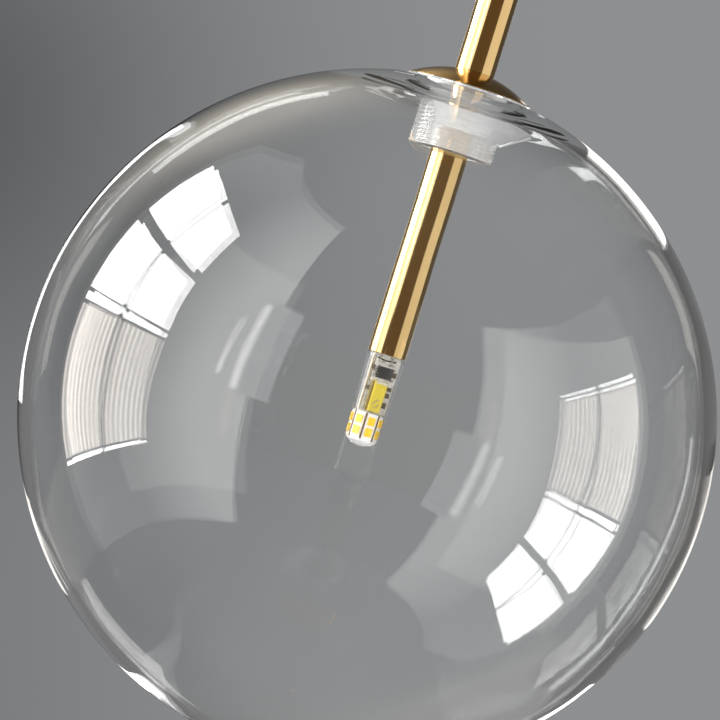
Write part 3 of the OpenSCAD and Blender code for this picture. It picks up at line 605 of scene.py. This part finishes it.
# Light passes through clear parts, so they cast no shadow
CLEAR = [MATS[k] for k in ("clear_glass", "clear_acrylic", "clear_silicone", "lamp_silicone")]
for obj in (o for o in scene.objects if o.type == "MESH"):
    if obj.data.materials[0] in CLEAR:
        obj.visible_shadow = False


# ---- Stage: soft panels, a paned window, a floor and the room's tones ----

def unreflected(t):
    """1 on a ray that has only passed through clear parts, 0 once it has bounced off anything."""
    many_layers = 7.5
    path = add(t, "ShaderNodeLightPath")
    bounced = maths(t, "ADD", path.outputs["Glossy Depth"], path.outputs["Diffuse Depth"])
    seen = maths(t, "MAXIMUM", path.outputs["Is Camera Ray"], path.outputs["Is Transmission Ray"])
    straight = maths(t, "MULTIPLY", maths(t, "LESS_THAN", bounced, 0.5), seen)
    # light that has wandered through many clear layers arrives as the backdrop's tone too
    return maths(t, "MAXIMUM", straight, maths(t, "GREATER_THAN", path.outputs["Ray Depth"], many_layers))


def along_y(t):
    place = add(t, "ShaderNodeTexCoord").outputs["Object"]
    return add(t, "ShaderNodeSeparateXYZ", {0: place}).outputs[1]


def glow(name, colour, strength, stripes=0.0, fade=None):
    """A lit surface, with stripes along Y or fading along Y; fade is (start, end, strength at the end)."""
    m, t, out = new_material(name)
    level = strength
    if fade:
        start, end, faded = fade
        level = spread(t, along_y(t), strength, faded, start, end)
    if stripes:
        lines = maths(t, "SINE", maths(t, "MULTIPLY", along_y(t), stripes))
        level = maths(t, "MULTIPLY", spread(t, lines, 0.66, 1.1, -0.6, 0.6), strength)
    lit = add(t, "ShaderNodeEmission", {"Color": (*colour, 1), "Strength": level})
    bare = add(t, "ShaderNodeBsdfTransparent")
    shown = add(t, "ShaderNodeMixShader", {0: unreflected(t), 1: lit.outputs[0], 2: bare.outputs[0]})
    t.links.new(shown.outputs[0], out.inputs[0])
    return m


def lit_panel(name, verts, faces, material):
    """A panel that the camera doesn't see and that casts no shadow."""
    me = bpy.data.meshes.new(name)
    me.from_pydata(verts, [], faces)
    me.materials.append(material)
    obj = bpy.data.objects.new(name, me)
    scene.collection.objects.link(obj)
    obj.visible_camera = False
    obj.visible_shadow = False
    return obj


def quad_panel(name, quads, material):
    verts = [corner for quad in quads for corner in quad]
    faces = [[4 * i, 4 * i + 1, 4 * i + 2, 4 * i + 3] for i in range(len(quads))]
    return lit_panel(name, verts, faces, material)


# The window's plane stands on the -X side, turned a little; places on it are in parts of its distance
WINDOW_AWAY = 2.5
WINDOW_TURN = math.tan(math.radians(12.7))
PANE_LIFT = 0.02


def on_window(y, z):
    x = -WINDOW_AWAY + y * WINDOW_AWAY * WINDOW_TURN + PANE_LIFT
    return (x, y * WINDOW_AWAY, globe_z + z * WINDOW_AWAY)


def pane(y0, y1, z0, z1):
    return [on_window(y0, z0), on_window(y1, z0), on_window(y1, z1), on_window(y0, z1)]


def patch(name, corners, distance, material):
    """A lit panel seen from the globe between four (azimuth, elevation) corners.

    Azimuth 0 is behind the camera and 90 is on the -X side.
    """
    n = 14
    verts, faces = [], []
    (a0, e0), (a1, e1), (a2, e2), (a3, e3) = corners
    for i in range(n + 1):
        for j in range(n + 1):
            u, v = i / n, j / n
            a = math.radians((a0 * (1 - u) + a1 * u) * (1 - v) + (a3 * (1 - u) + a2 * u) * v)
            e = math.radians((e0 * (1 - u) + e1 * u) * (1 - v) + (e3 * (1 - u) + e2 * u) * v)
            level = distance * math.cos(e)
            verts.append((-level * math.sin(a), -level * math.cos(a), globe_z + distance * math.sin(e)))
    for i in range(n):
        for j in range(n):
            k = i * (n + 1) + j
            faces.append((k, k + n + 1, k + n + 2, k + 1))
    lit_panel(name, verts, faces, material)


def rim(name, side, clock, away, material):
    """A lit arc behind the globe, between two clock angles and two angles away from the view's axis."""
    n, distance = 24, 5.0
    verts = []
    for i in range(n + 1):
        c = math.radians(clock[0] + (clock[1] - clock[0]) * i / n)
        for a in map(math.radians, away):
            out = distance * math.sin(a)
            verts.append((side * out * math.cos(c), distance * math.cos(a), globe_z + out * math.sin(c)))
    quads = [[verts[2 * i], verts[2 * i + 2], verts[2 * i + 3], verts[2 * i + 1]] for i in range(n)]
    quad_panel(name, quads, material).visible_diffuse = False


LEFT_SIDE = -1
RIGHT_SIDE = 1
PANEL_AWAY = 4.0
REVEAL_AWAY = 4.2
WALL_AWAY = 4.6

columns = ((-0.28, 0.048), (0.078, 0.43))
upper_rows = ((0.126, 0.388), (0.442, 0.787))
sill_rows = ((0.087, 0.112), (-0.452, -0.436))
lower_rows = ((-0.424, 0.073),)
white = glow("window_light", (1.0, 0.995, 0.98), 15.0)
beige = glow("window_low", (1.0, 0.935, 0.865), 5.8, stripes=62.0)
wall_light = glow("wall_light", (1.0, 0.99, 0.98), 2.4, fade=(-2.6, -0.6, 0.7))
for name, rows, light in (("window_upper", upper_rows, white), ("window_sill", sill_rows, white),
                          ("window_lower", lower_rows, beige)):
    quad_panel(name, [pane(*column, *row) for column in columns for row in rows], light)
patch("wall_near", ((39, -42), (100, -43), (100, 59), (39, 55)), WALL_AWAY, wall_light)
patch("wall_far", ((100, -43), (118, -41), (119, 48), (100, 59)), WALL_AWAY, wall_light)
pale = glow("side_light", (1.0, 0.995, 0.98), 5.5)
patch("side_window", ((43.2, -3), (45.8, -3), (45.2, 23), (42.6, 23)), PANEL_AWAY, pale)
patch("side_window_low", ((43.6, -17), (46.2, -17), (45.9, -4.5), (43.3, -4.5)), PANEL_AWAY,
      glow("side_low", (1.0, 0.95, 0.895), 3.0))
patch("side_window_edge", ((50.0, 0), (51.8, 0), (50.6, 17), (49.4, 17)), PANEL_AWAY, pale)
patch("side_reveal", ((32, -4), (42.2, -4), (42.2, 25), (30.5, 24)), REVEAL_AWAY,
      glow("reveal_light", (1, 1, 1), 1.6))
patch("soft_panel", ((-41, -36), (-102, -34), (-102, 34), (-41, 38)), PANEL_AWAY,
      glow("soft_light", (1.0, 0.985, 0.96), 0.9))
rim("rim_left", LEFT_SIDE, (-16, 38), (17.5, 22), glow("rim_light", (1, 1, 1), 2.4))
rim("rim_left_low", LEFT_SIDE, (-50, -33), (3, 20), glow("rim_light_low", (1, 0.96, 0.9), 1.5))
rim("rim_left_foot", LEFT_SIDE, (-71, -66), (5, 25), glow("rim_light_foot", (1, 1, 1), 4.0))
rim("rim_right", RIGHT_SIDE, (46, 66), (3, 25), glow("rim_light_right", (1, 0.985, 0.96), 2.0))
lines = glow("rim_light_lines", (1, 1, 1), 3.6)
rim("rim_right_edge", RIGHT_SIDE, (-62, -26), (4, 8), lines)
rim("rim_right_band", RIGHT_SIDE, (-66, -34), (13, 21), lines)
rim("rim_right_mid", RIGHT_SIDE, (-22, 6), (9, 19), glow("rim_light_mid", (1, 0.96, 0.9), 1.3))


def floor_pale():
    m, t, out = new_material("floor_pale")
    wear = noise_tex(t, coords(t), 0.8, 4.0, 0.6)
    b = add(t, "ShaderNodeBsdfPrincipled", {
        "Base Color": tint(t, wear, (0.46, 0.46, 0.46), (0.52, 0.52, 0.52)),
        "Roughness": 0.7,
        "Specular IOR Level": 0.0,
        "Emission Color": (0.9, 0.93, 1.0, 1),
        "Emission Strength": 0.1,
    })
    t.links.new(b.outputs[0], out.inputs[0])
    return m


# low enough that a camera that looks up at the light still stands above it
FLOOR_Z = -5.0
v, f = revolve([(r, FLOOR_Z) for r in (0.0, 4.0, 9.0, 14.0)], 96, closed=False)
me = bpy.data.meshes.new("floor")
me.from_pydata(v, [], f)
me.materials.append(floor_pale())
floor = bpy.data.objects.new("floor", me)
scene.collection.objects.link(floor)


def fill(name, away, size, power):
    """A soft light that reaches only matt surfaces."""
    light = bpy.data.lights.new(name, "AREA")
    light.size = size
    light.energy = power
    obj = bpy.data.objects.new(name, light)
    scene.collection.objects.link(obj)
    obj.location = Vector((0, 0, globe_z)) + Vector(away)
    obj.rotation_euler = Vector(away).to_track_quat("Z", "Y").to_euler()
    obj.visible_camera = obj.visible_glossy = obj.visible_transmission = False


fill("fill_left", (-0.9, -1.7, 0.35), 1.2, 29.0)
fill("fill_right", (1.3, -1.6, 0.1), 1.2, 46.0)
fill("fill_low", (-0.2, -1.0, -1.3), 0.9, 24.0)

ROLL = math.radians(17.27)
RIGHT = Vector((math.cos(ROLL), 0, math.sin(ROLL)))
UP = Vector((-math.sin(ROLL), 0, math.cos(ROLL)))
AHEAD = Vector((0, 1, 0))

world = bpy.data.worlds.new("room")
scene.world = world
world.use_nodes = True
t = world.node_tree
t.nodes.clear()
out = t.nodes.new("ShaderNodeOutputWorld")
way = add(t, "ShaderNodeTexCoord").outputs["Generated"]


def spotted(tone, direction, size, strength, colour):
    """The tone with a soft round patch of a colour in a direction."""
    ends = {0: way, 1: direction.normalized()}
    ratio = maths(t, "DIVIDE", add(t, "ShaderNodeVectorMath", ends, operation="DISTANCE").outputs[1], size)
    bell = maths(t, "POWER", math.e, maths(t, "MULTIPLY", maths(t, "MULTIPLY", ratio, ratio), -1.0))
    return tint(t, maths(t, "MULTIPLY", bell, strength, clamp=True), tone, colour)


# what is seen behind the globe: a plain grey, darker towards the left
grey = spotted((0.272, 0.276, 0.284), AHEAD - 0.11 * RIGHT + 0.06 * UP, 0.08, 0.62, (0.0, 0.001, 0.004))
grey = spotted(grey, AHEAD - 0.13 * RIGHT - 0.10 * UP, 0.085, 0.34, (0.02, 0.022, 0.034))

# what the clear and bright parts reflect: the room's own tones, darker overhead and behind the camera
height = add(t, "ShaderNodeSeparateXYZ", {0: way}).outputs[2]
room = tint(t, spread(t, height, 0.0, 1.0, 0.05, 0.5), (0.17, 0.17, 0.172), (0.06, 0.058, 0.055))
room = spotted(room, Vector((-0.46, 0.68, 0.58)), 0.29, 1.3, (0.75, 0.69, 0.58))
room = spotted(room, Vector((0.1, -1.0, 0.1)), 0.72, 1.5, (0.125, 0.086, 0.05))
room = spotted(room, Vector((0.8, 0.6, 0.0)), 0.5, 1.4, (0.09, 0.086, 0.08))
room = spotted(room, AHEAD + Vector((-0.18, 0, 0.03)), 0.14, 1.6, (0.02, 0.02, 0.02))
tone = tint(t, unreflected(t), room, grey)
bg = add(t, "ShaderNodeBackground", {"Color": tone, "Strength": 1.0})
t.links.new(bg.outputs[0], out.inputs[0])

# ---- Camera: at the photograph's height and roll, from the front ----

cam = bpy.data.cameras.new("camera")
cam.lens = 208.7
cam.sensor_width = 36.0
cam.clip_start = 0.1
cam.clip_end = 50
eye = bpy.data.objects.new("camera", cam)
scene.collection.objects.link(eye)
facing = Matrix((RIGHT, UP, -AHEAD)).transposed().to_4x4()
eye.matrix_world = Matrix.Translation((-0.0103, -1.795, globe_z + 0.0229)) @ facing
scene.camera = eye

scene.view_settings.view_transform = "Standard"
scene.view_settings.look = "None"
cy = scene.cycles
cy.max_bounces = 40
cy.transmission_bounces = 40
cy.glossy_bounces = 40
cy.diffuse_bounces = 3
cy.transparent_max_bounces = 32
cy.caustics_reflective = False
cy.caustics_refractive = False
cy.blur_glossy = 0.0
cy.use_denoising = True
cy.sample_clamp_indirect = 20.0
